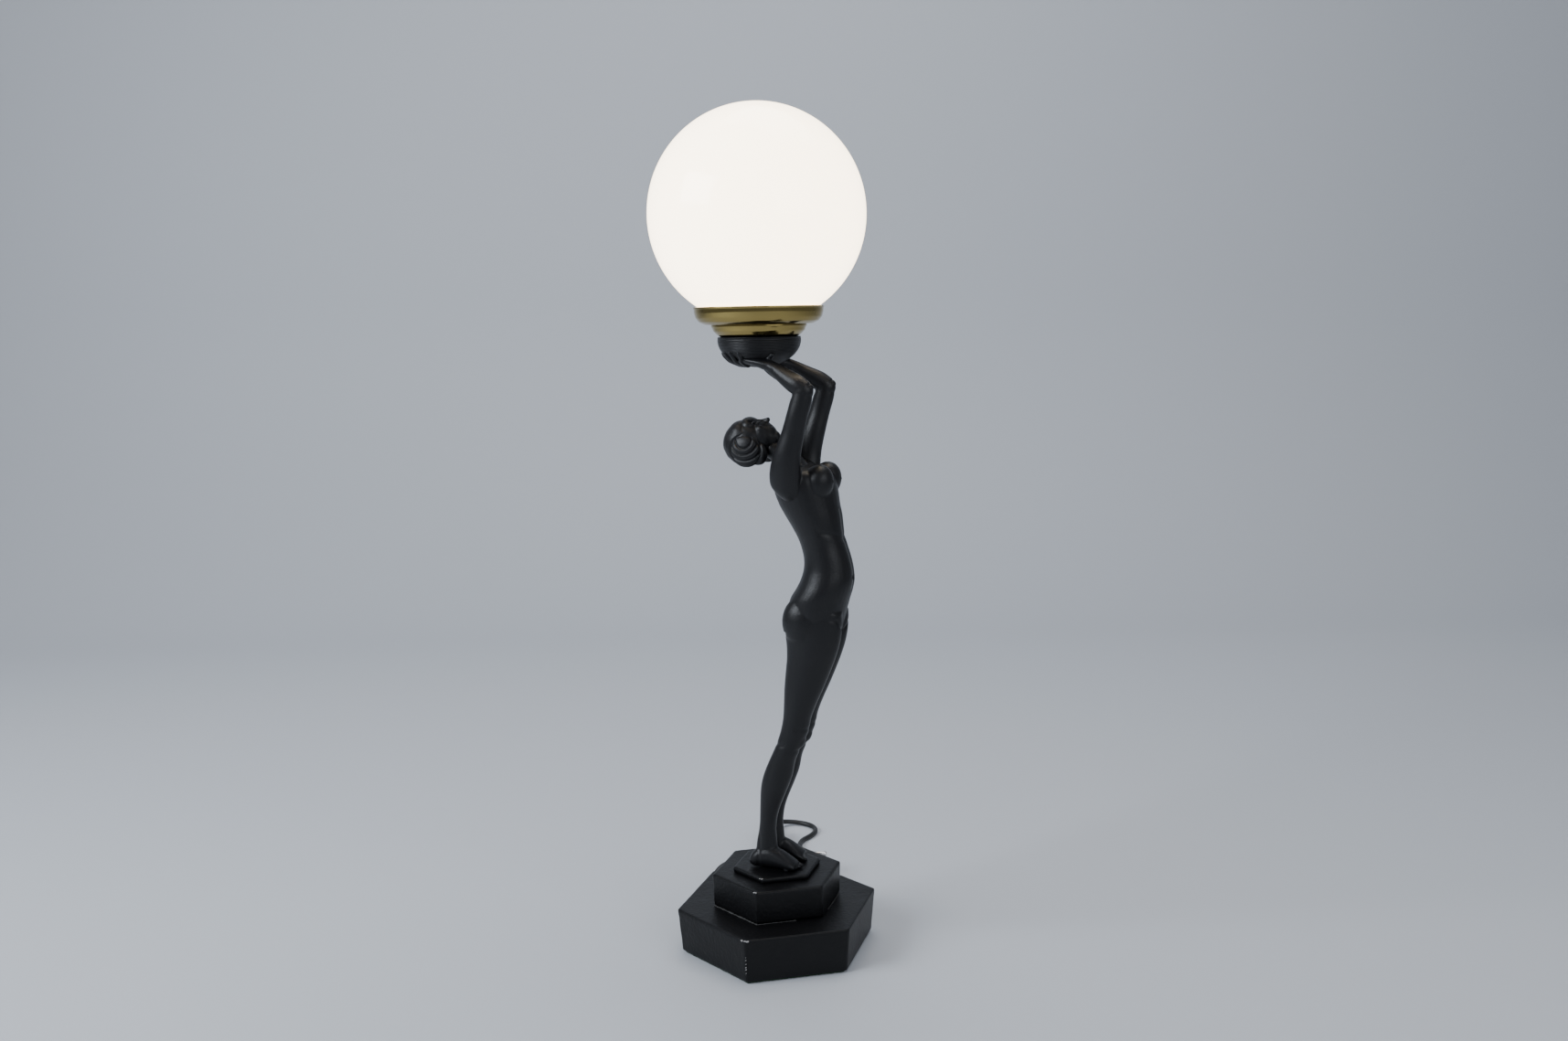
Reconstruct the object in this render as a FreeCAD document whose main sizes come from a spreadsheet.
import FreeCAD, Part
import math
import os

import Sketcher

from FreeCAD import Placement, Rotation, Vector

# A table lamp: a standing figure on a stepped six-sided base lifts a bowl, a brass gallery and an
# opal globe. The origin is the centre of the base's underside, +Z is up and the figure faces +X.

doc = FreeCAD.newDocument("figural_table_lamp")
sheet = doc.addObject("Spreadsheet::Sheet", "sizes")
UP = Vector(0, 0, 1)
parts = {}
row_count = 0


def formula(value):
    """The sheet formula of a length, or a plain number's own text."""
    return value.text if isinstance(value, Dim) else "%.6g" % value


class Dim(float):
    """A length that remembers the formula on the sheet that it comes from."""

    def __new__(cls, value, text):
        item = float.__new__(cls, value)
        item.text = text
        return item

    def __add__(self, other):
        return Dim(float(self) + float(other), "(%s + %s)" % (self.text, formula(other)))

    def __radd__(self, other):
        return Dim(float(other) + float(self), "(%s + %s)" % (formula(other), self.text))

    def __sub__(self, other):
        return Dim(float(self) - float(other), "(%s - %s)" % (self.text, formula(other)))

    def __rsub__(self, other):
        return Dim(float(other) - float(self), "(%s - %s)" % (formula(other), self.text))

    def __mul__(self, other):
        return Dim(float(self) * float(other), "(%s * %s)" % (self.text, formula(other)))

    def __rmul__(self, other):
        return Dim(float(other) * float(self), "(%s * %s)" % (formula(other), self.text))

    def __truediv__(self, other):
        return Dim(float(self) / float(other), "(%s / %s)" % (self.text, formula(other)))

    def __neg__(self):
        return Dim(-float(self), "(-%s)" % self.text)


def root(value):
    """A square root that keeps its formula."""
    return Dim(math.sqrt(value), "sqrt(%s)" % formula(value))


def size(alias, value):
    """Write one driving dimension in millimetres into the sheet under its own name."""
    global row_count
    row_count += 1
    cell = "B%d" % row_count
    sheet.set("A%d" % row_count, alias)
    sheet.set(cell, str(value))
    sheet.setAlias(cell, alias)
    return Dim(value, "sizes." + alias)


# ---- base -----------------------------------------------------------------------------------
felt_thickness = size("felt_thickness", 1.2)
felt_inset = size("felt_inset", 1.5)
lower_foot_radius = size("lower_foot_radius", 71.2)
lower_top_radius = size("lower_top_radius", 74.2)
lower_height = size("lower_height", 32.0)
lower_wall = size("lower_wall", 5.0)
lower_roof = size("lower_roof", 8.0)
upper_foot_radius = size("upper_foot_radius", 47.1)
upper_top_radius = size("upper_top_radius", 48.2)
upper_height = size("upper_height", 23.9)
step_radius = size("step_radius", 32.7)
step_height = size("step_height", 4.0)
edge_chamfer = size("edge_chamfer", 0.8)
# ---- figure ---------------------------------------------------------------------------------
figure_height = size("figure_height", 360.0)
foot_length = size("foot_length", 39.0)
leg_spacing = size("leg_spacing", 17.0)
shoulder_spacing = size("shoulder_spacing", 50.0)
elbow_spacing = size("elbow_spacing", 56.0)
joint_seam = size("joint_seam", 0.3)
# ---- fixings and inner lead -------------------------------------------------------------------
stud_radius = size("stud_radius", 3.0)
stud_in_leg = size("stud_in_leg", 16.0)
fit_clearance = size("fit_clearance", 0.05)
hole_clearance = size("hole_clearance", 0.4)
nut_width = size("nut_width", 10.0)
nut_height = size("nut_height", 5.0)
washer_radius = size("washer_radius", 9.0)
washer_thickness = size("washer_thickness", 1.6)
lead_radius = size("lead_radius", 1.6)
lead_bore = size("lead_bore", 2.3)
# ---- bowl and gallery -------------------------------------------------------------------------
axis_x = size("axis_x", -5.5)
bowl_radius = size("bowl_radius", 29.1)
bowl_height = size("bowl_height", 21.2)
bowl_wall = size("bowl_wall", 1.6)
lower_ring_radius = size("lower_ring_radius", 33.2)
lower_ring_foot = size("lower_ring_foot", 28.9)
lower_ring_height = size("lower_ring_height", 8.4)
gallery_radius = size("gallery_radius", 45.2)
gallery_height = size("gallery_height", 12.2)
spun_wall = size("spun_wall", 1.0)
# ---- nipple, lampholder and bulb ----------------------------------------------------------------
nipple_radius = size("nipple_radius", 5.0)
nipple_bore = size("nipple_bore", 3.5)
nipple_nut_width = size("nipple_nut_width", 14.0)
nipple_nut_height = size("nipple_nut_height", 3.5)
holder_radius = size("holder_radius", 14.0)
holder_height = size("holder_height", 44.0)
holder_wall = size("holder_wall", 1.6)
sleeve_radius = size("sleeve_radius", 7.4)
sleeve_wall = size("sleeve_wall", 0.6)
cap_radius = size("cap_radius", 7.0)
cap_height = size("cap_height", 24.0)
bulb_radius = size("bulb_radius", 22.5)
bulb_length = size("bulb_length", 78.0)
bulb_wall = size("bulb_wall", 1.2)
# ---- globe --------------------------------------------------------------------------------------
globe_radius = size("globe_radius", 75.0)
glass_wall = size("glass_wall", 3.0)
neck_radius = size("neck_radius", 39.0)
neck_height = size("neck_height", 7.5)
gasket_thickness = size("gasket_thickness", 1.6)
gasket_width = size("gasket_width", 4.0)
# ---- mains lead -----------------------------------------------------------------------------------
cord_diameter = size("cord_diameter", 4.2)
exit_height = size("exit_height", 16.4)
boot_radius = size("boot_radius", 4.4)
boot_tip_radius = size("boot_tip_radius", 2.9)
boot_outer = size("boot_outer", 9.0)
boot_inner = size("boot_inner", 14.0)
coil_radius = size("coil_radius", 35.4)
coil_pitch = size("coil_pitch", 5.5)
coil_lift = size("coil_lift", 1.3)
tie_thickness = size("tie_thickness", 0.8)
tie_width = size("tie_width", 7.0)
switch_length = size("switch_length", 48.0)
switch_width = size("switch_width", 18.0)
switch_height = size("switch_height", 14.0)
plug_length = size("plug_length", 36.0)
plug_width = size("plug_width", 35.3)
plug_height = size("plug_height", 13.7)
pin_radius = size("pin_radius", 2.0)
pin_length = size("pin_length", 19.0)
pin_spacing = size("pin_spacing", 19.0)
relief_length = size("relief_length", 7.0)
doc.recompute()

# Heights that follow from the stack.
lower_top = felt_thickness + lower_height
upper_top = lower_top + upper_height
step_top = upper_top + step_height
scale = figure_height / 360.0
bowl_foot = step_top + figure_height
bowl_top = bowl_foot + bowl_height
lower_ring_top = bowl_top + lower_ring_height
gallery_top = lower_ring_top + gallery_height
neck_foot = lower_ring_top + spun_wall + gasket_thickness
neck_drop = root(globe_radius * globe_radius - neck_radius * neck_radius)
neck_top = neck_foot + neck_height
globe_centre = neck_top + neck_drop
half_legs = leg_spacing / 2
half_shoulders = shoulder_spacing / 2
half_elbows = elbow_spacing / 2
tier_depth = lower_roof + upper_height + step_height
boot_neck = boot_radius - 1.0
HEX_SIDES = 6
HEX_TURN = 30.0
ANKLE_X = -3.6
corner_wall = lower_wall / math.cos(math.radians(HEX_TURN))


def add(kind, name, **bindings):
    """Add a primitive and bind its sizes to the sheet."""
    item = doc.addObject(kind, name)
    for prop, value in bindings.items():
        if isinstance(value, Dim):
            item.setExpression(prop, value.text)
        else:
            setattr(item, prop, value)
    return item


def at(item, x=0, y=0, z=0, rotation=None):
    """Place an item; a length from the sheet is bound to it."""
    item.Placement = Placement(Vector(x, y, z), rotation or Rotation())
    for letter, value in (("x", x), ("y", y), ("z", z)):
        if isinstance(value, Dim):
            item.setExpression(".Placement.Base.%s" % letter, value.text)
    return item


def fuse(name, items):
    item = doc.addObject("Part::MultiFuse", name)
    item.Shapes = items
    return item


def cut(name, base, tool):
    item = doc.addObject("Part::Cut", name)
    item.Base = base
    item.Tool = tool
    return item


def node(item, name):
    """Name a finished sub-part; its label is the name of its file."""
    item.Label = name
    parts[name] = item
    return item


def solid_node(name, shape):
    """A sub-part whose form is worked out here from the sheet's values."""
    item = doc.addObject("Part::Feature", name)
    item.Shape = shape
    return node(item, name)


# ---- base tiers -------------------------------------------------------------------------------------
def hexagon(name, radius, z):
    """A six-sided outline with flats that face +X, -X and the four directions between."""
    outline = add("Part::RegularPolygon", name, Polygon=HEX_SIDES, Circumradius=radius)
    return at(outline, z=z, rotation=Rotation(UP, HEX_TURN))


def hex_block(name, foot_radius, top_radius, foot, top):
    block = doc.addObject("Part::Loft", name)
    block.Sections = [hexagon(name + "_foot", foot_radius, foot), hexagon(name + "_top", top_radius, top)]
    block.Solid = True
    block.Ruled = True
    return block


def chamfer_top(name, block):
    """Break the edges round the top face, where the finish wears first."""
    doc.recompute()
    top = block.Shape.BoundBox.ZMax
    edges = []
    for number, edge in enumerate(block.Shape.Edges, 1):
        if abs(edge.BoundBox.ZMin - top) < 1e-4:
            edges.append((number, edge_chamfer, edge_chamfer))
    item = doc.addObject("Part::Chamfer", name)
    item.Base = block
    item.Edges = edges
    return item


def base_parts():
    felt = hex_block("felt_block", lower_foot_radius - felt_inset,
                     lower_foot_radius - felt_inset, 0, felt_thickness)
    node(felt, "felt_pad")

    outer = hex_block("lower_outer", lower_foot_radius, lower_top_radius, felt_thickness, lower_top)
    chamfered = chamfer_top("lower_chamfered", outer)
    inner = hex_block("lower_inner", lower_foot_radius - corner_wall, lower_top_radius - corner_wall,
                      felt_thickness, lower_top - lower_roof)
    hollow = cut("lower_hollow", chamfered, inner)
    holes = fuse("lower_holes", [stud_hole("lower_stud_hole"), cable_hole(), lead_hole("lower_lead_hole")])
    node(cut("lower_tier", hollow, holes), "base_lower_tier")

    upper = hex_block("upper_block", upper_foot_radius, upper_top_radius, lower_top, upper_top)
    upper_holes = fuse("upper_holes", [stud_hole("upper_stud_hole"), lead_hole("upper_lead_hole")])
    node(cut("upper_tier", chamfer_top("upper_chamfered", upper), upper_holes), "base_upper_tier")

    step = hex_block("step_block", step_radius, step_radius, upper_top, step_top)
    step_holes = fuse("step_holes", [stud_hole("step_stud_hole"), lead_hole("step_lead_hole")])
    node(cut("step", chamfer_top("step_chamfered", step), step_holes), "base_top_step")


def stud_hole(name):
    hole = add("Part::Cylinder", name, Radius=stud_radius + hole_clearance, Height=tier_depth + 2)
    return at(hole, x=ANKLE_X, y=half_legs, z=lower_top - lower_roof - 1)


def lead_hole(name):
    hole = add("Part::Cylinder", name, Radius=lead_bore, Height=tier_depth + 2)
    return at(hole, x=ANKLE_X, y=-half_legs, z=lower_top - lower_roof - 1)


EXIT_ANGLE = 120.0
exit_way = Vector(math.cos(math.radians(EXIT_ANGLE)), math.sin(math.radians(EXIT_ANGLE)), 0)
exit_slope = (lower_top_radius - lower_foot_radius) / lower_height
exit_radius = lower_foot_radius + exit_slope * (exit_height - felt_thickness)
exit_face = exit_radius * math.cos(math.radians(HEX_TURN))
ALONG_EXIT = Rotation(UP, exit_way)


def cable_hole():
    hole = add("Part::Cylinder", "cable_hole", Radius=boot_neck + fit_clearance, Height=lower_wall + 8)
    start = exit_way * (exit_face - lower_wall - 4)
    return at(hole, x=start.x, y=start.y, z=exit_height, rotation=ALONG_EXIT)


# ---- turned and round pieces ----------------------------------------------------------------------------
def origin_plane(body, role):
    for item in body.Origin.OriginFeatures:
        if item.Role == role:
            return item
    raise ValueError(role)


def turned(name, profile, x=0.0, y=0.0):
    """A turned piece: a sketch of (radius, height) corners, revolved about its own upright axis."""
    body = doc.addObject("PartDesign::Body", name)
    sketch = body.newObject("Sketcher::SketchObject", name + "_profile")
    sketch.AttachmentSupport = [(origin_plane(body, "XZ_Plane"), "")]
    sketch.MapMode = "FlatFace"
    corners = [Vector(r, z, 0) for r, z in profile]
    count = len(corners)
    for number in range(count):
        sketch.addGeometry(Part.LineSegment(corners[number], corners[(number + 1) % count]))
    for number in range(count):
        sketch.addConstraint(Sketcher.Constraint("Coincident", number, 2, (number + 1) % count, 1))
    for number, (radius, height) in enumerate(profile):
        hold(sketch, "DistanceX", number, radius)
        hold(sketch, "DistanceY", number, height)
    revolution = body.newObject("PartDesign::Revolution", name + "_turned")
    revolution.Profile = sketch
    revolution.ReferenceAxis = (sketch, ["V_Axis"])
    revolution.Angle = 360
    return at(body, x=x, y=y)


def hold(sketch, kind, number, value):
    """Tie one corner's radius or height to the sheet; a corner on an axis stays on it."""
    if abs(value) < 1e-9:
        axis = -2 if kind == "DistanceX" else -1
        sketch.addConstraint(Sketcher.Constraint("PointOnObject", number, 1, axis))
        return
    index = sketch.addConstraint(Sketcher.Constraint(kind, -1, 1, number, 1, float(value)))
    if isinstance(value, Dim):
        sketch.setExpression("Constraints[%d]" % index, value.text)


def hex_nut(name, width, height, bore, x, y, z):
    blank = add("Part::Prism", name + "_blank", Polygon=HEX_SIDES, Height=height,
                Circumradius=width / 2 / math.cos(math.radians(HEX_TURN)))
    hole = add("Part::Cylinder", name + "_hole", Radius=bore, Height=height)
    return cut(name + "_nut", at(blank, x, y, z), at(hole, x, y, z))


# ---- figure: limbs are lofts through oval sections ---------------------------------------------------------
def oval(name, centre, depth, width, tilt=0.0, lean=0.0):
    """An oval section: depth is its half size along X, width along Y; tilt leans it about Y."""
    item = doc.addObject("Part::Ellipse", name)
    turned_oval = width > depth
    item.MajorRadius = max(depth, width) * scale
    item.MinorRadius = min(depth, width) * scale
    turn = Rotation(UP, 90) if turned_oval else Rotation()
    item.Placement = Placement(centre, Rotation(Vector(0, 1, 0), tilt) * Rotation(Vector(1, 0, 0), lean) * turn)
    return item


def limb(name, stations):
    """A smooth limb through stations (x, y, z, half depth, half width, tilt, lean), z above the step."""
    sections = []
    for number, (x, y, z, depth, width, tilt, lean) in enumerate(stations):
        centre = Vector(x * scale, y, step_top + z * scale)
        sections.append(oval("%s_%d" % (name, number), centre, depth, width, tilt, lean))
    item = doc.addObject("Part::Loft", name)
    item.Sections = sections
    item.Solid = True
    item.Ruled = False
    return item


def ball(name, x, y, z, rx, ry, rz, tilt=0.0, lean=0.0):
    """An oval swelling, such as a calf, a hip or a cheek; z is above the step."""
    item = doc.addObject("Part::Ellipsoid", name)
    item.Radius1 = rz * scale
    item.Radius2 = rx * scale
    item.Radius3 = ry * scale
    item.Placement = Placement(Vector(x * scale, y, step_top + z * scale),
                               Rotation(Vector(0, 1, 0), tilt) * Rotation(Vector(1, 0, 0), lean))
    return item


def leg(side, name):
    y = side * half_legs
    return limb(name, [
        (-4.6, y, 6.0, 7.2, 5.6, 0, 0),
        (-4.1, y, 20.0, 6.2, 4.9, 0, 0),
        (-3.4, y, 31.0, 5.8, 5.0, 0, 0),
        (-1.9, y, 43.0, 7.0, 6.2, 0, 0),
        (1.8, y, 59.0, 9.8, 7.8, 0, 0),
        (5.2, y, 70.0, 10.6, 8.0, 0, 0),
        (8.7, y, 81.0, 9.5, 7.6, 0, 0),
        (13.6, y, 92.0, 9.4, 7.6, 0, 0),
        (18.0, y, 103.0, 10.1, 8.0, 0, 0),
        (20.1, y, 113.0, 10.2, 8.2, 0, 0),
        (25.4, y, 135.0, 14.2, 9.4, 0, 0),
        (31.0, y, 157.0, 17.6, 10.8, 0, 0),
        (32.6, y, 168.0, 19.4, 11.6, 0, 0),
        (32.6, y, 180.0, 21.2, 12.2, 0, 0),
        (33.0, y, 190.0, 20.8, 12.0, 0, 0),
    ])


def foot(side, name):
    """A bare foot: heel, arch, ball and toes, flat underneath."""
    y = side * half_legs
    toe_x = foot_length - 17.0
    return limb(name, [
        (-17.0, y, 5.0, 2.6, 3.2, 90, 0),
        (-13.0, y, 6.0, 5.6, 4.8, 90, 0),
        (-4.0, y, 7.5, 7.4, 5.2, 90, 0),
        (6.0, y, 5.6, 5.6, 5.6, 90, 0),
        (toe_x - 7.0, y + side, 3.6, 3.6, 6.6, 90, 0),
        (toe_x, y + side, 2.2, 2.0, 5.0, 90, 0),
    ])


def torso():
    return limb("torso", [
        (32.6, 0, 176.0, 18.0, 17.0, 0, 0),
        (33.4, 0, 188.0, 20.6, 21.6, 0, 0),
        (35.8, 0, 198.0, 21.0, 22.4, 0, 0),
        (41.5, 0, 212.0, 18.9, 20.2, 0, 0),
        (42.4, 0, 220.0, 17.5, 18.4, 0, 0),
        (41.6, 0, 228.0, 16.6, 17.6, 0, 0),
        (37.4, 0, 242.0, 16.6, 18.0, 0, 0),
        (32.2, 0, 257.0, 19.9, 20.8, 0, 0),
        (27.4, 0, 273.0, 22.0, 23.0, 0, 0),
        (26.2, 0, 281.0, 21.6, 23.2, 0, 0),
        (25.4, 0, 286.5, 19.4, 21.8, 0, 0),
        (24.4, 0, 290.0, 14.8, 18.0, 0, 0),
        (22.4, 0, 292.0, 8.0, 10.0, 0, 0),
    ])


def neck():
    return limb("neck", [
        (22.0, 0, 284.0, 10.0, 12.0, -30, 0),
        (16.0, 0, 293.5, 8.4, 9.4, -48, 0),
        (9.0, 0, 299.0, 7.0, 7.6, -60, 0),
        (1.0, 0, 303.5, 6.8, 7.2, -68, 0),
    ])


HEAD_X = -11.0
HEAD_Z = 308.0


def head_parts():
    skull = ball("skull", HEAD_X - 3.0, 0, HEAD_Z, 16.6, 14.0, 17.4, -12)
    face = ball("face", HEAD_X + 4.0, 0, HEAD_Z + 6.0, 13.2, 10.8, 13.6, -20)
    nose = ball("nose", HEAD_X + 6.4, 0, HEAD_Z + 19.2, 4.4, 1.7, 1.9, 0)
    chin = ball("chin", HEAD_X + 14.6, 0, HEAD_Z + 11.4, 4.4, 4.6, 3.8, 0)
    hair = ball("hair", HEAD_X - 5.4, 0, HEAD_Z - 2.6, 16.8, 15.4, 17.4, -20)
    rolls = [skull, face, nose, chin, hair]
    for side, word in ((-1, "right"), (1, "left")):
        for number, radius in enumerate((9.6, 5.6)):
            roll = doc.addObject("Part::Torus", "hair_roll_%s_%d" % (word, number))
            roll.Radius1 = radius * scale
            roll.Radius2 = 2.6 * scale
            roll.Placement = Placement(Vector(HEAD_X * scale - 4.5, side * 12.8, step_top + (HEAD_Z - 2.0) * scale),
                                       Rotation(Vector(1, 0, 0), 90))
            rolls.append(roll)
    return fuse("head_forms", rolls)


def arm(side, word):
    """One raised arm: upper arm, bent elbow, forearm and a hand under the bowl."""
    shoulder = side * half_shoulders
    elbow = side * half_elbows
    wrist = elbow * 0.75
    hand = elbow * 0.52
    upper = limb("upper_arm_" + word, [
        (20.0, shoulder * 0.86, 282.0, 11.5, 8.0, 8, side * -18),
        (21.5, shoulder * 1.02, 292.0, 11.6, 7.8, 8, side * -8),
        (24.0, shoulder * 1.06, 304.0, 9.6, 7.4, 12, 0),
        (27.0, shoulder * 1.08, 318.0, 8.2, 6.8, 14, 0),
        (30.6, elbow, 334.0, 7.6, 6.4, 12, 0),
        (32.0, elbow, 345.0, 7.4, 6.2, -6, 0),
    ])
    joint = ball("elbow_" + word, 31.6, elbow, 344.0, 7.6, 6.2, 8.2, 20)
    fore = limb("forearm_" + word, [
        (34.0, elbow, 343.6, 6.6, 6.0, -60, 0),
        (27.0, elbow * 0.96, 347.4, 7.0, 6.4, -62, 0),
        (18.0, elbow * 0.86, 351.6, 6.0, 5.8, -62, 0),
        (9.0, wrist, 355.6, 4.8, 5.0, -62, 0),
        (2.0, elbow * 0.68, 359.6, 4.4, 6.0, -60, 0),
    ])
    palm = limb("hand_" + word, [
        (4.0, elbow * 0.69, 358.6, 4.2, 5.4, -58, 0),
        (-3.0, elbow * 0.62, 362.0, 4.0, 7.4, -58, 0),
        (-10.0, hand, 365.0, 3.4, 7.6, -62, 0),
        (-16.0, hand * 0.9, 368.4, 2.6, 6.6, -56, 0),
        (-21.0, hand * 0.8, 373.0, 1.8, 5.2, -46, 0),
    ])
    return fuse("arm_forms_" + word, [upper, joint, fore, palm])


# ---- inner lead: up the right leg, the back of the torso and the right arm into the bowl ------------------------
def rounded_path(points, limit=None):
    """Straight runs joined by tangent arcs, each as large as its two runs allow."""
    edges = []
    radii = []
    start = points[0]
    for number in range(1, len(points) - 1):
        before, corner, after = points[number - 1], points[number], points[number + 1]
        back = before - corner
        ahead = after - corner
        short = min(back.Length, ahead.Length)
        back.normalize()
        ahead.normalize()
        half_turn = (math.pi - back.getAngle(ahead)) / 2
        radius = 0.45 * short / math.tan(half_turn)
        if limit is not None:
            radius = min(radius, limit)
        reach = radius * math.tan(half_turn)
        first = corner + back * reach
        last = corner + ahead * reach
        bisector = (back + ahead).normalize()
        centre = corner + bisector * (radius / math.cos(half_turn))
        middle = centre - bisector * radius
        edges.append(Part.LineSegment(start, first).toShape())
        edges.append(Part.Arc(first, middle, last).toShape())
        radii.append(radius)
        start = last
    edges.append(Part.LineSegment(start, points[-1]).toShape())
    return Part.Wire(edges), radii


def tube(path, radius):
    """A round tube along a path of lines and arcs."""
    start = path.Edges[0]
    tangent = start.tangentAt(start.FirstParameter)
    section = Part.Wire(Part.makeCircle(radius, start.valueAt(start.FirstParameter), tangent))
    shell = Part.BRepOffsetAPI.MakePipeShell(path)
    shell.add(section)
    shell.build()
    shell.makeSolid()
    return shell.shape()


def report_tube(name, shape, path, radius, radii):
    ratio = shape.Volume / (math.pi * radius ** 2 * path.Length)
    text = " ".join("%.1f" % value for value in radii)
    print("%s: length %.1f, volume ratio %.4f, bend radii %s" % (name, path.Length, ratio, text))


def inner_route():
    y = -half_legs
    elbow = -half_elbows
    foot_z = felt_thickness + 12.0
    return [
        exit_way * (exit_face - lower_wall - boot_inner) + Vector(0, 0, exit_height),
        Vector(-18.0, 22.0, exit_height),
        Vector(-19.0, 4.0, exit_height),
        Vector(-13.0, y, foot_z + 1.0),
        Vector(ANKLE_X, y, lower_top - lower_roof - 6.0),
        Vector(ANKLE_X, y, step_top + 22.0 * scale),
        Vector(1.0 * scale, y, step_top + 62.0 * scale),
        Vector(18.5 * scale, y, step_top + 106.0 * scale),
        Vector(30.0 * scale, y, step_top + 176.0 * scale),
        Vector(39.5 * scale, y * 1.1, step_top + 222.0 * scale),
        Vector(28.0 * scale, y * 1.6, step_top + 266.0 * scale),
        Vector(24.5 * scale, -half_shoulders * 1.02, step_top + 298.0 * scale),
        Vector(29.5 * scale, elbow * 0.99, step_top + 329.0 * scale),
        Vector(28.6 * scale, elbow * 0.97, step_top + 345.4 * scale),
        Vector(17.0 * scale, elbow * 0.85, step_top + 352.0 * scale),
        Vector(4.0 * scale, elbow * 0.66, step_top + 359.4 * scale),
        Vector(axis_x + 2.0, elbow * 0.34, bowl_foot + 9.0),
        Vector(axis_x, 0, bowl_foot + 14.0),
        Vector(axis_x, 0, lower_ring_top + spun_wall + 8.0),
    ]


def inner_lead_shapes():
    path, radii = rounded_path(inner_route())
    lead = tube(path, lead_radius)
    bore = tube(path, lead_bore)
    report_tube("inner lead", lead, path, lead_radius, radii)
    return lead, bore


# ---- mains lead: free stretches, coil, tie, switch and plug ---------------------------------------------------
VIEW_SIDE = Vector(0.95, 0.3123, 0)
VIEW_BACK = Vector(-0.3123, 0.95, 0)


def floor_point(side, back, z):
    """A place behind the lamp: side runs along the base's back, back runs away from it."""
    return VIEW_SIDE * side + VIEW_BACK * back + Vector(0, 0, z)


# Chosen by hand as (side, back, height): out of the boot, over the put-away coil, round a loose loop.
LEAD_POINTS = [
    (-14.8, 70.4, 16.4), (-15.9, 75.4, 16.4), (-14.2, 81.2, 16.4), (-9.6, 85.9, 16.4), (-2.6, 88.6, 16.4),
    (6.0, 89.6, 16.8), (17.0, 90.6, 16.2), (27.0, 93.6, 12.6), (36.0, 99.4, 7.6), (43.0, 108.0, 3.4),
    (46.5, 119.5, 2.2), (46.0, 133.0, 2.1), (38.5, 148.0, 2.1), (27.0, 161.0, 2.1), (19.5, 177.0, 2.1),
    (21.0, 193.5, 2.1), (30.5, 205.0, 2.1), (36.0, 217.5, 2.1), (32.5, 230.5, 2.1), (21.0, 237.5, 2.6),
    (8.0, 236.5, 4.2), (-1.5, 228.0, 6.2), (-4.5, 215.5, 7.0),
]
# Out of the switch and down to the coil's outer turn.
LINK_POINTS = [(-4.5, 153.5, 7.0), (-4.5, 147.5, 6.3), (-2.2, 141.7, 5.0)]
# Off the coil's top layer and up into the plug.
TAIL_POINTS = [(-49.5, 97.7, 9.6), (-49.2, 104.3, 11.4), (-45.7, 109.9, 13.6), (-39.9, 113.0, 15.8),
               (-32.5, 113.1, 17.3)]
COIL_SIDE = -13.0
COIL_BACK = 103.5
COIL_START_ANGLE = 45.0
COIL_END_ANGLE = 206.0
COIL_HALF_TURNS = 8
COIL_SIDES = 6
PLUG_SIDE = -14.0
PLUG_BACK = 113.0


def free_route(points):
    return [floor_point(side, back, z) for side, back, z in points]


coil_centre = floor_point(COIL_SIDE, COIL_BACK, 0)


def round_way(angle):
    """A level direction, by its angle from the side direction."""
    turn = math.radians(angle)
    return VIEW_SIDE * math.cos(turn) + VIEW_BACK * math.sin(turn)


def coil_path():
    """Half turns that draw in by half a pitch each, climb a layer at the middle, and spiral out again."""
    low = UP * (coil_lift + cord_diameter / 2)
    high = low + UP * coil_pitch
    step = coil_pitch / 2
    axis = round_way(COIL_END_ANGLE)
    inward = [coil_radius - number * step for number in range(COIL_HALF_TURNS + 1)]
    reach = inward + inward[::-1]
    first = coil_centre + round_way(COIL_START_ANGLE) * coil_radius + low
    onward = round_way(COIL_START_ANGLE - 90)
    middle = coil_centre + round_way((COIL_START_ANGLE + COIL_END_ANGLE - 180) / 2) * coil_radius + low
    here = coil_centre - axis * reach[0] + low
    start = first - onward * cord_diameter
    edges = [Part.LineSegment(start, first).toShape(), Part.Arc(first, middle, here).toShape()]
    side = -1
    for number in range(1, len(reach)):
        level = low if number <= COIL_HALF_TURNS else high
        there = coil_centre + axis * (reach[number] * -side) + level
        radius = (there - here).Length / 2
        bulge = (here + there) / 2 + round_way(COIL_END_ANGLE - 90) * (radius * side)
        edges.append(Part.Arc(here, bulge, there).toShape())
        here = there
        side = -side
    way = round_way(COIL_END_ANGLE - 90)
    end = here + way * cord_diameter
    edges.append(Part.LineSegment(here, end).toShape())
    return Part.Wire(edges), start, onward, end, way


def least_gap(path, diameter):
    """The least gap between turns, on points: pairs nearer than a diameter and a half along it are left out."""
    spacing = 2.0
    count = int(path.Length / spacing)
    points = path.discretize(count)
    skip = int(3 * diameter / spacing) + 1
    least = 1e9
    for number in range(count):
        for other in range(number + skip, count):
            distance = points[number].distanceToPoint(points[other])
            least = min(least, distance)
    return least - diameter


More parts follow.
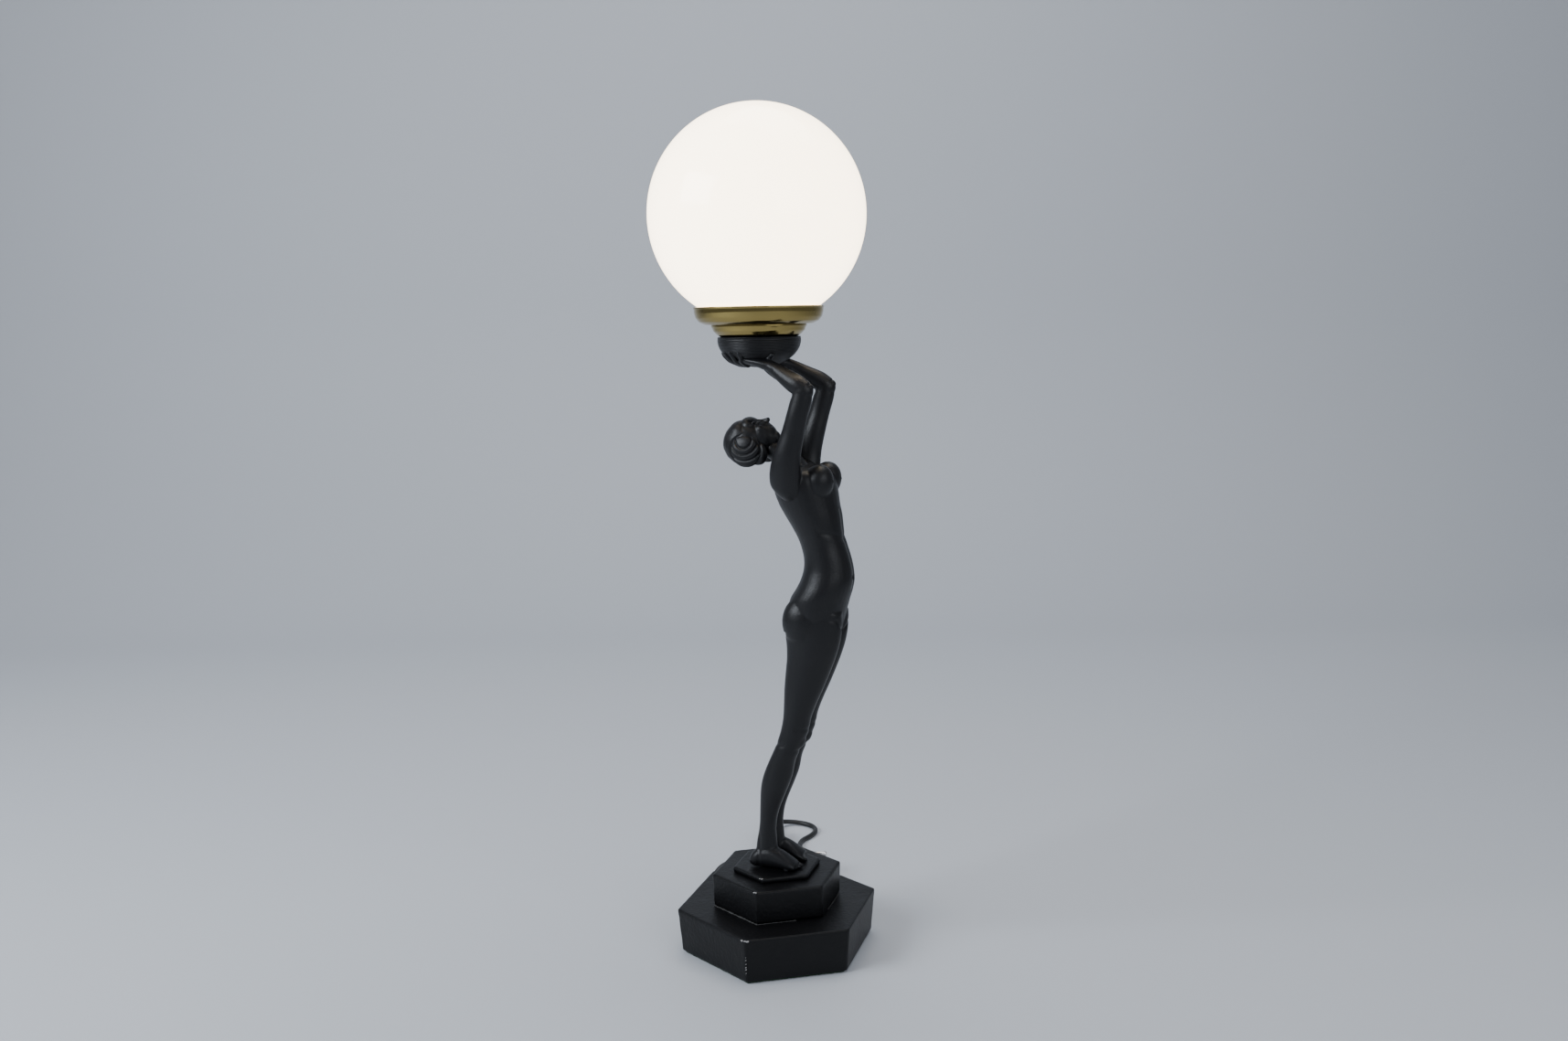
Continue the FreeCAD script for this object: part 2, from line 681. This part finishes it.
def faceted_tube(path, radius, sides, facing):
    """A tube with a few flat sides, its section square to the path's start."""
    start = path.Edges[0]
    origin = start.valueAt(start.FirstParameter)
    tangent = start.tangentAt(start.FirstParameter)
    across = tangent.cross(facing).normalize()
    corners = []
    for number in range(sides):
        turn = 2 * math.pi * (number + 0.5) / sides
        corners.append(origin + across * (radius * math.cos(turn)) + facing * (radius * math.sin(turn)))
    shell = Part.BRepOffsetAPI.MakePipeShell(path)
    shell.add(Part.makePolygon(corners + corners[:1]))
    shell.build()
    shell.makeSolid()
    solid = shell.shape()
    if not solid.isValid():
        solid.fix(1e-6, 1e-6, 1e-4)
    return solid


def cone_between(start, way, length, start_radius, end_radius):
    return Part.makeCone(start_radius, end_radius, length, start, way)


def free_cord(name, points):
    radius = cord_diameter / 2
    path, radii = rounded_path(points)
    shape = tube(path, radius)
    report_tube(name, shape, path, radius, radii)
    return path.Length, solid_node(name, shape)


def cord_parts():
    boot_face = exit_way * exit_face + UP * exit_height
    tip = boot_face + exit_way * boot_outer
    back = boot_face - exit_way * (lower_wall + boot_inner)
    collar = cone_between(boot_face + exit_way * hole_clearance, exit_way, boot_outer - hole_clearance,
                          boot_radius, boot_tip_radius)
    neck = Part.makeCylinder(boot_neck, lower_wall + 2 * hole_clearance,
                             boot_face - exit_way * (lower_wall + hole_clearance), exit_way)
    inside = cone_between(back, exit_way, boot_inner - hole_clearance, boot_tip_radius, boot_radius)
    boot = collar.fuse([neck, inside]).removeSplitter()
    solid_node("cord_boot", boot)

    switch_north = floor_point(SWITCH_SIDE, SWITCH_BACK + switch_length / 2 + relief_length, switch_height / 2)
    switch_south = floor_point(SWITCH_SIDE, SWITCH_BACK - switch_length / 2 - relief_length, switch_height / 2)
    lead = [tip] + free_route(LEAD_POINTS[1:-1]) + [switch_north]
    total, _ = free_cord("cord_to_switch", lead)

    path, coil_start, _, coil_end, coil_end_way = coil_path()
    link = [switch_south] + free_route(LINK_POINTS[1:]) + [coil_start]
    length, _ = free_cord("cord_to_coil", link)
    total += length
    coil = faceted_tube(path, cord_diameter / 2, COIL_SIDES, UP)
    solid_node("cord_coil", coil)
    gap = least_gap(path, cord_diameter)
    print("coil: length %.1f, least gap between turns %.2f" % (path.Length, gap))
    total += path.Length

    plug_tail = floor_point(PLUG_SIDE - relief_length - 3, PLUG_BACK, plug_level)
    tail = [coil_end] + free_route(TAIL_POINTS) + [plug_tail]
    length, _ = free_cord("cord_to_plug", tail)
    total += length
    print("mains lead: %.0f mm of free cord and coil" % total)


def tie_part():
    """A strap round the coil's turns, bound once."""
    angle = 300.0
    inner = coil_radius - (COIL_HALF_TURNS / 2) * coil_pitch - cord_diameter / 2 - 2.0
    outer = coil_radius + cord_diameter / 2 + 2.0
    gap = 0.3
    low = coil_lift - gap
    high = coil_lift + cord_diameter + coil_pitch + gap
    thick = tie_thickness
    outside = Part.makeBox(outer - inner + 2 * thick, tie_width, high - low + 2 * thick,
                           Vector(inner - thick, -tie_width / 2, low - thick))
    inside = Part.makeBox(outer - inner, tie_width, high - low, Vector(inner, -tie_width / 2, low))
    band = outside.cut(inside)
    way = round_way(angle)
    band.Placement = Placement(coil_centre, Rotation(Vector(1, 0, 0), way))
    solid_node("cord_tie", band)


# ---- switch on the lead: a two-part shell with a rocker ----------------------------------------------------
SWITCH_SIDE = -4.5
SWITCH_BACK = 184.5
SWITCH_PLACE = Placement(floor_point(SWITCH_SIDE, SWITCH_BACK, 0), Rotation(Vector(1, 0, 0), -VIEW_BACK))
rocker_travel = size("rocker_travel", 14.0)
rocker_length = size("rocker_length", 15.0)
rocker_width = size("rocker_width", 8.0)
rocker_pin_radius = size("rocker_pin_radius", 1.0)
plug_level = coil_lift + cord_diameter + coil_pitch + joint_seam + plug_height / 2


def rounded_bar(length, width, low, high, end_radius):
    """A bar with rounded ends, as the halves of a switch shell have."""
    bar = Part.makeBox(length, width, high - low, Vector(-length / 2, -width / 2, low))
    corners = []
    for edge in bar.Edges:
        if abs(edge.tangentAt(edge.FirstParameter).z) > 0.99:
            corners.append(edge)
    return bar.makeFillet(end_radius, corners)


def switch_parts():
    split = switch_height * 0.45
    half = switch_length / 2
    end_radius = switch_width * 0.42
    foot = rounded_bar(switch_length, switch_width, 0.0, split, end_radius)
    crown = rounded_bar(switch_length, switch_width, split, switch_height, end_radius)
    crown = crown.makeFillet(2.2, [edge for edge in crown.Edges if edge.BoundBox.ZMin > switch_height - 1e-4])
    pocket_floor = switch_height - 7.0
    clear = 0.5
    pocket = Part.makeBox(rocker_length + 2 * clear + 2.0, rocker_width + 2 * clear, 8.0,
                          Vector(-rocker_length / 2 - clear - 1.0, -rocker_width / 2 - clear, pocket_floor))
    pin_height = switch_height - 3.2
    pin_length_across = switch_width - 5.0
    pin = Part.makeCylinder(rocker_pin_radius, pin_length_across,
                            Vector(0, -pin_length_across / 2, pin_height), Vector(0, 1, 0))
    screws = []
    for way in (-1, 1):
        screws.append((way * (half - 8.0), 0.0))
    for x, y in screws:
        foot = foot.cut(Part.makeCylinder(2.6, 2.0, Vector(x, y, 0), UP))
    crown = crown.cut([pocket, pin])
    rocker = rocker_shape(pin_height)
    solid_node("switch_base", foot).Placement = SWITCH_PLACE
    solid_node("switch_cover", crown).Placement = SWITCH_PLACE
    rocker.Placement = SWITCH_PLACE.multiply(rocker.Placement)
    solid_node("switch_rocker", rocker)
    solid_node("switch_pin", pin).Placement = SWITCH_PLACE
    heads = []
    for x, y in screws:
        heads.append(Part.makeCylinder(2.4, 1.6, Vector(x, y, 0.4), UP))
    solid_node("switch_screws", Part.makeCompound(heads)).Placement = SWITCH_PLACE
    for word, way in (("far", -1), ("near", 1)):
        start = Vector(way * half, 0, switch_height / 2)
        relief = cone_between(start, Vector(way, 0, 0), relief_length, 4.6, cord_diameter / 2 + 0.9)
        relief.Placement = SWITCH_PLACE
        solid_node("switch_relief_" + word, relief)


def rocker_shape(pin_height):
    """A rocker at rest on its off side: a bowed top over a round belly, bored for its pin."""
    half = rocker_length / 2
    tilt = rocker_travel / 2
    rise = 2.0
    outline = Part.Wire([
        Part.Arc(Vector(-half, 0, 1.2), Vector(0, 0, rise), Vector(half, 0, 1.2)).toShape(),
        Part.LineSegment(Vector(half, 0, 1.2), Vector(half - 0.8, 0, -1.6)).toShape(),
        Part.Arc(Vector(half - 0.8, 0, -1.6), Vector(0, 0, -2.8), Vector(-half + 0.8, 0, -1.6)).toShape(),
        Part.LineSegment(Vector(-half + 0.8, 0, -1.6), Vector(-half, 0, 1.2)).toShape(),
    ])
    block = Part.Face(outline).extrude(Vector(0, rocker_width, 0))
    block.translate(Vector(0, -rocker_width / 2, 0))
    bore = Part.makeCylinder(rocker_pin_radius + fit_clearance, rocker_width,
                             Vector(0, -rocker_width / 2, 0), Vector(0, 1, 0))
    block = block.cut(bore)
    block.rotate(Vector(0, 0, 0), Vector(0, 1, 0), tilt)
    block.translate(Vector(0, 0, pin_height))
    return block


# ---- plug: a flat moulded body with two round pins ------------------------------------------------------
def plug_section(x, width, height):
    """A flattened six-sided section across the plug."""
    flat = width * 0.34
    corners = [Vector(x, -width / 2, 0), Vector(x, -flat, height / 2), Vector(x, flat, height / 2),
               Vector(x, width / 2, 0), Vector(x, flat, -height / 2), Vector(x, -flat, -height / 2)]
    return Part.makePolygon(corners + corners[:1])


def plug_parts():
    place = Placement(floor_point(PLUG_SIDE, PLUG_BACK, plug_level), Rotation(Vector(1, 0, 0), VIEW_SIDE))
    body = Part.makeLoft([plug_section(0.0, plug_width * 0.42, plug_height * 0.9),
                          plug_section(plug_length * 0.35, plug_width * 0.62, plug_height),
                          plug_section(plug_length * 0.72, plug_width, plug_height),
                          plug_section(plug_length, plug_width, plug_height)], True, True)
    pins = []
    for way in (-1, 1):
        y = way * pin_spacing / 2
        pin = Part.makeCylinder(pin_radius, pin_length, Vector(plug_length, y, 0), Vector(1, 0, 0))
        pins.append(pin)
    relief = cone_between(Vector(-relief_length - 3, 0, 0), Vector(1, 0, 0), relief_length + 3,
                          cord_diameter / 2 + 0.8, 5.0)
    for name, shape in (("plug_body", body), ("plug_pins", Part.makeCompound(pins)), ("plug_relief", relief)):
        shape.Placement = place
        solid_node(name, shape)


# ---- figure, bowl and brasswork ------------------------------------------------------------------------------
def figure_parts(bore):
    doc.recompute()
    forms = [torso(), neck()]
    for side, word in ((-1, "right"), (1, "left")):
        forms.append(leg(side, "leg_" + word))
        forms.append(foot(side, "foot_" + word))
        forms.append(ball("buttock_" + word, 24.0, side * half_legs * 1.18, 184.0, 13.4, 11.6, 15.0, 4))
        forms.append(ball("breast_" + word, 41.4, side * half_legs * 1.22, 275.5, 9.4, 9.6, 11.0, 14))
        forms.append(ball("shoulder_" + word, 19.0, side * half_shoulders * 0.82, 285.0, 11.0, 8.4, 10.4, 0))
    doc.recompute()
    solid = fuse("body_forms", forms)
    heads = head_parts()
    arms = [arm(-1, "right"), arm(1, "left")]
    doc.recompute()
    lead_way = doc.addObject("Part::Feature", "lead_way")
    lead_way.Shape = bore
    socket = add("Part::Cylinder", "stud_socket", Radius=stud_radius + fit_clearance, Height=stud_in_leg + 0.5)
    at(socket, ANKLE_X, half_legs, step_top - 0.5)
    below = add("Part::Box", "below_feet", Length=200, Width=200, Height=20)
    at(below, -100, -100, step_top - 20)
    body_cuts = fuse("body_cuts", [lead_way, socket, below])
    carved = cut("figure_body", solid, body_cuts)
    node(carved, "figure_body")
    doc.recompute()
    # The head and arms are castings of their own, let into the trunk.
    head = cut("figure_head", heads, solid)
    node(head, "figure_head")
    clear = bowl_clear()
    for word, forms_of_arm in (("right", arms[0]), ("left", arms[1])):
        tools = [solid, clear]
        if word == "right":
            tools.append(lead_way)
        node(cut("arm_" + word, forms_of_arm, fuse("arm_cuts_" + word, tools)), word + "_arm")


def bowl_outer(name, grow):
    drop = bowl_radius * 0.646
    form = add("Part::Ellipsoid", name, Radius1=drop + grow, Radius2=bowl_radius + grow,
               Radius3=bowl_radius + grow)
    return at(form, axis_x, 0, bowl_foot + drop)


def bowl_clear():
    return bowl_outer("bowl_space", 0.0)


def bowl_parts(bore):
    outer = bowl_outer("bowl_outer", 0.0)
    inner = bowl_outer("bowl_inner", -bowl_wall)
    top = add("Part::Box", "bowl_trim", Length=4 * bowl_radius, Width=4 * bowl_radius, Height=4 * bowl_radius)
    at(top, axis_x - 2 * bowl_radius, -2 * bowl_radius, bowl_top)
    way = doc.addObject("Part::Feature", "bowl_lead_way")
    way.Shape = bore
    node(cut("bowl", outer, fuse("bowl_cuts", [inner, top, way])), "hand_bowl")


def gallery_parts():
    hole = nipple_radius + fit_clearance
    seam = 1.0
    lower = turned("lower_ring", [
        (hole, bowl_top), (lower_ring_foot - 2.0, bowl_top), (lower_ring_foot, bowl_top + 1.2),
        (lower_ring_radius - 0.8, lower_ring_top - 2.6), (lower_ring_radius, lower_ring_top),
        (lower_ring_radius - spun_wall, lower_ring_top), (lower_ring_radius - spun_wall - 0.8, lower_ring_top - 2.4),
        (lower_ring_foot - spun_wall, bowl_top + 1.2 + seam), (hole, bowl_top + seam)], axis_x)
    node(lower, "gallery_lower_ring")
    floor = lower_ring_top + spun_wall
    upper = turned("upper_ring", [
        (hole, lower_ring_top), (gallery_radius - 8.0, lower_ring_top), (gallery_radius - 3.6, lower_ring_top + 2.0),
        (gallery_radius - 1.4, lower_ring_top + 4.8), (gallery_radius - 0.4, lower_ring_top + 8.4),
        (gallery_radius, gallery_top), (gallery_radius - spun_wall, gallery_top),
        (gallery_radius - spun_wall - 0.4, lower_ring_top + 8.6),
        (gallery_radius - spun_wall - 1.3, lower_ring_top + 5.4),
        (gallery_radius - 4.0 - spun_wall / 2, lower_ring_top + 3.2), (gallery_radius - 8.4, floor),
        (hole, floor)], axis_x)
    node(upper, "gallery_upper_ring")


def nipple_parts():
    foot = bowl_top - nipple_nut_height - 3.0
    head = lower_ring_top + spun_wall + 6.0
    tube_profile = [(nipple_bore, foot), (nipple_radius, foot), (nipple_radius, head), (nipple_bore, head)]
    node(turned("nipple", tube_profile, axis_x), "threaded_nipple")
    nut_bore = nipple_radius + fit_clearance
    node(hex_nut("nipple_lock", nipple_nut_width, nipple_nut_height, nut_bore,
                 axis_x, 0, bowl_top - nipple_nut_height), "nipple_lock_nut")


def holder_parts():
    foot = lower_ring_top + spun_wall
    top = foot + holder_height
    bore = nipple_radius + fit_clearance
    block_foot = foot + 6.0 + 2.0
    base_plate = turned("holder_base_ring", [
        (bore, foot), (holder_radius - 2.0, foot), (holder_radius, foot + 2.0), (holder_radius, foot + 12.0),
        (holder_radius - holder_wall, foot + 12.0), (holder_radius - holder_wall, foot + 3.0), (bore, foot + 3.0)],
        axis_x)
    node(base_plate, "lampholder_cap")
    skirt = turned("holder_skirt", [
        (holder_radius - holder_wall, foot + 12.0), (holder_radius, foot + 12.0), (holder_radius, top),
        (sleeve_radius + sleeve_wall + 0.3, top), (sleeve_radius + sleeve_wall + 0.3, top - 1.6),
        (holder_radius - holder_wall, top - 1.6)], axis_x)
    node(skirt, "lampholder_skirt")
    block = turned("holder_block", [
        (0.0, block_foot), (holder_radius - holder_wall - 0.1, block_foot),
        (holder_radius - holder_wall - 0.1, block_foot + 7.0), (0.0, block_foot + 7.0)], axis_x)
    node(block, "terminal_block")
    sleeve_foot = block_foot + 7.0
    sleeve = turned("screw_shell", [
        (sleeve_radius, sleeve_foot), (sleeve_radius + sleeve_wall, sleeve_foot),
        (sleeve_radius + sleeve_wall, top - 0.4), (sleeve_radius, top - 0.4)], axis_x)
    node(sleeve, "screw_sleeve")
    return block_foot, sleeve_foot, top


bulb_pitch = size("bulb_pitch", 2.82)


def bulb_parts(sleeve_foot, top):
    """A small screw bulb: plated cap with its contact button, and a round glass."""
    contact_gap = 3.4
    button = 1.6
    cap_foot = sleeve_foot + contact_gap
    contact = turned("contact_disc", [
        (0.0, sleeve_foot + 0.3), (3.2, sleeve_foot + 0.3), (2.4, cap_foot - 0.3), (0.0, cap_foot - 0.3)], axis_x)
    node(contact, "centre_contact")
    cap = turned("bulb_cap_profile", [
        (0.0, cap_foot), (2.4, cap_foot), (3.6, cap_foot + button), (cap_radius, cap_foot + button + 2.0),
        (cap_radius, cap_foot + cap_height), (0.0, cap_foot + cap_height)], axis_x)
    node(cap, "bulb_cap")
    glass_foot = cap_foot + cap_height
    centre = cap_foot + bulb_length - bulb_radius
    neck_height_here = centre - glass_foot - bulb_radius * 0.694
    blown = []
    for word, shrink in (("outer", 0.0), ("inner", bulb_wall)):
        sphere = add("Part::Sphere", "bulb_sphere_" + word, Radius=bulb_radius - shrink)
        at(sphere, axis_x, 0, centre)
        stem = add("Part::Cone", "bulb_neck_" + word, Radius1=cap_radius - 1.2 - shrink,
                   Radius2=bulb_radius * 0.72 - shrink, Height=neck_height_here)
        at(stem, axis_x, 0, glass_foot + shrink)
        blown.append(fuse("bulb_" + word, [sphere, stem]))
    node(cut("bulb_shell", blown[0], blown[1]), "bulb_glass")


def globe_parts():
    outer = add("Part::Sphere", "globe_outer", Radius=globe_radius)
    at(outer, axis_x, 0, globe_centre)
    neck = add("Part::Cylinder", "globe_neck", Radius=neck_radius, Height=neck_height + glass_wall)
    at(neck, axis_x, 0, neck_foot)
    below = add("Part::Cylinder", "globe_below", Radius=neck_radius + 20, Height=globe_radius)
    at(below, axis_x, 0, neck_top - globe_radius)
    inner = add("Part::Sphere", "globe_inner", Radius=globe_radius - glass_wall)
    at(inner, axis_x, 0, globe_centre)
    mouth = add("Part::Cylinder", "globe_mouth", Radius=neck_radius - glass_wall, Height=neck_height + 4 * glass_wall)
    at(mouth, axis_x, 0, neck_foot - glass_wall)
    shade = fuse("globe_solid", [cut("globe_ball", outer, below), neck])
    node(cut("globe_glass", shade, fuse("globe_space", [inner, mouth])), "opal_globe")
    floor = lower_ring_top + spun_wall
    gasket = turned("gasket", [
        (neck_radius - gasket_width, floor + 0.1), (neck_radius - 2.7, floor + 0.1),
        (neck_radius - 1.4, floor + 1.2), (neck_radius - 1.4, neck_foot),
        (neck_radius - gasket_width, neck_foot)], axis_x)
    node(gasket, "globe_gasket")


def stud_parts():
    roof = lower_top - lower_roof
    y = half_legs
    foot = roof - washer_thickness - nut_height - 3.0
    stud_length = step_top + stud_in_leg - foot
    stud = add("Part::Cylinder", "stud_rod", Radius=stud_radius, Height=stud_length)
    node(at(stud, ANKLE_X, y, foot), "figure_stud")
    washer = turned("stud_washer_ring", [
        (stud_radius + fit_clearance, roof - washer_thickness), (washer_radius - 3.0, roof - washer_thickness),
        (washer_radius - 3.0, roof), (stud_radius + fit_clearance, roof)], ANKLE_X, y)
    node(washer, "stud_washer")
    node(hex_nut("stud", nut_width, nut_height, stud_radius + fit_clearance,
                 ANKLE_X, y, roof - washer_thickness - nut_height), "stud_nut")


def main():
    lead, bore = inner_lead_shapes()
    base_parts()
    stud_parts()
    solid_node("inner_lead", lead)
    figure_parts(bore)
    bowl_parts(bore)
    gallery_parts()
    nipple_parts()
    block_foot, sleeve_foot, top = holder_parts()
    bulb_parts(sleeve_foot, top)
    globe_parts()
    cord_parts()
    tie_part()
    switch_parts()
    plug_parts()
    doc.recompute()
    write_parts()


def write_parts():
    """Check every object and write each sub-part to a file of its own."""
    for item in doc.Objects:
        for state in item.State:
            if state in ("Invalid", "Error"):
                raise RuntimeError("%s is %s" % (item.Label, state))
    os.makedirs("parts", exist_ok=True)
    for name, item in sorted(parts.items()):
        shape = item.Shape
        if shape.isNull() or not shape.isValid():
            raise RuntimeError("%s has no valid shape" % name)
        shape.exportStep("parts/%s.step" % name)
        print("%-20s solids %d, volume %.0f" % (name, len(shape.Solids), shape.Volume))


main()
